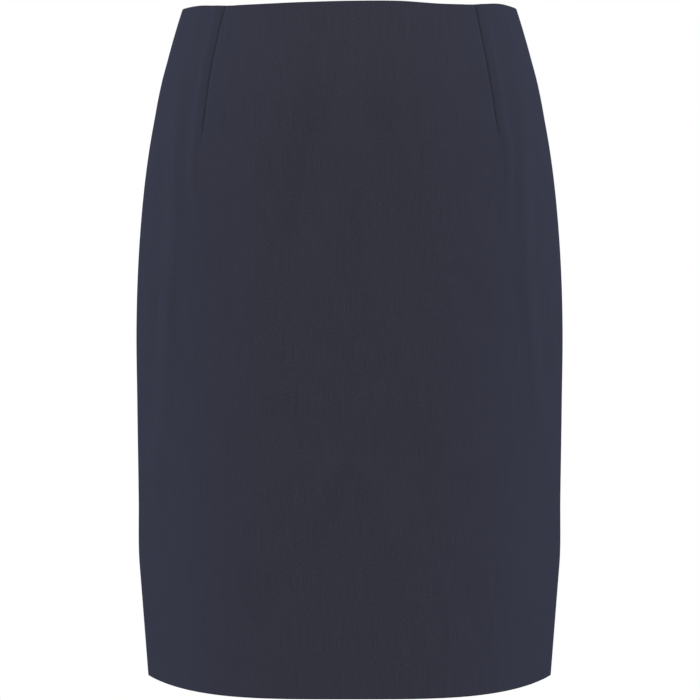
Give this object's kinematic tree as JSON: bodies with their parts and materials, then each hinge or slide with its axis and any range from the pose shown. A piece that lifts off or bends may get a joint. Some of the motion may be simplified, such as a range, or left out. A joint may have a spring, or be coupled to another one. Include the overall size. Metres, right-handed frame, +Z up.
{
  "type": "pencil skirt",
  "caption": "Knee-length fitted skirt with a plain waist edge, front and back darts, a concealed centre-back zip and a lapped walking vent, held open as worn.",
  "frame": {"origin": "the middle of the waist opening, level with the waist edge at the centre front", "axes": "+Z up, towards the wearer's waist; -Y is the front; +X is the wearer's left side"},
  "size_m": [0.3726, 0.2426, 0.5819],
  "materials": {
    "suiting": "matte dark navy woven suiting",
    "zip_tape": "matte dark navy woven tape",
    "zip_metal": "satin dark navy enamel"
  },
  "bodies": {
    "skirt": {"front_panel": "suiting", "back_left": "suiting", "back_right": "suiting", "zip_tape_left": "zip_tape", "zip_tape_right": "zip_tape", "zip_slider": "zip_metal"},
    "zip_pull": {"zip_pull": "zip_metal"}
  },
  "joints": [
    {"name": "zip_pull_swing", "type": "hinge", "parent": "skirt", "child": "zip_pull", "pos_m": [0, 0.10252, -0.01367], "axis": [1, 0, 0], "range_deg": [0, 150]}
  ]
}
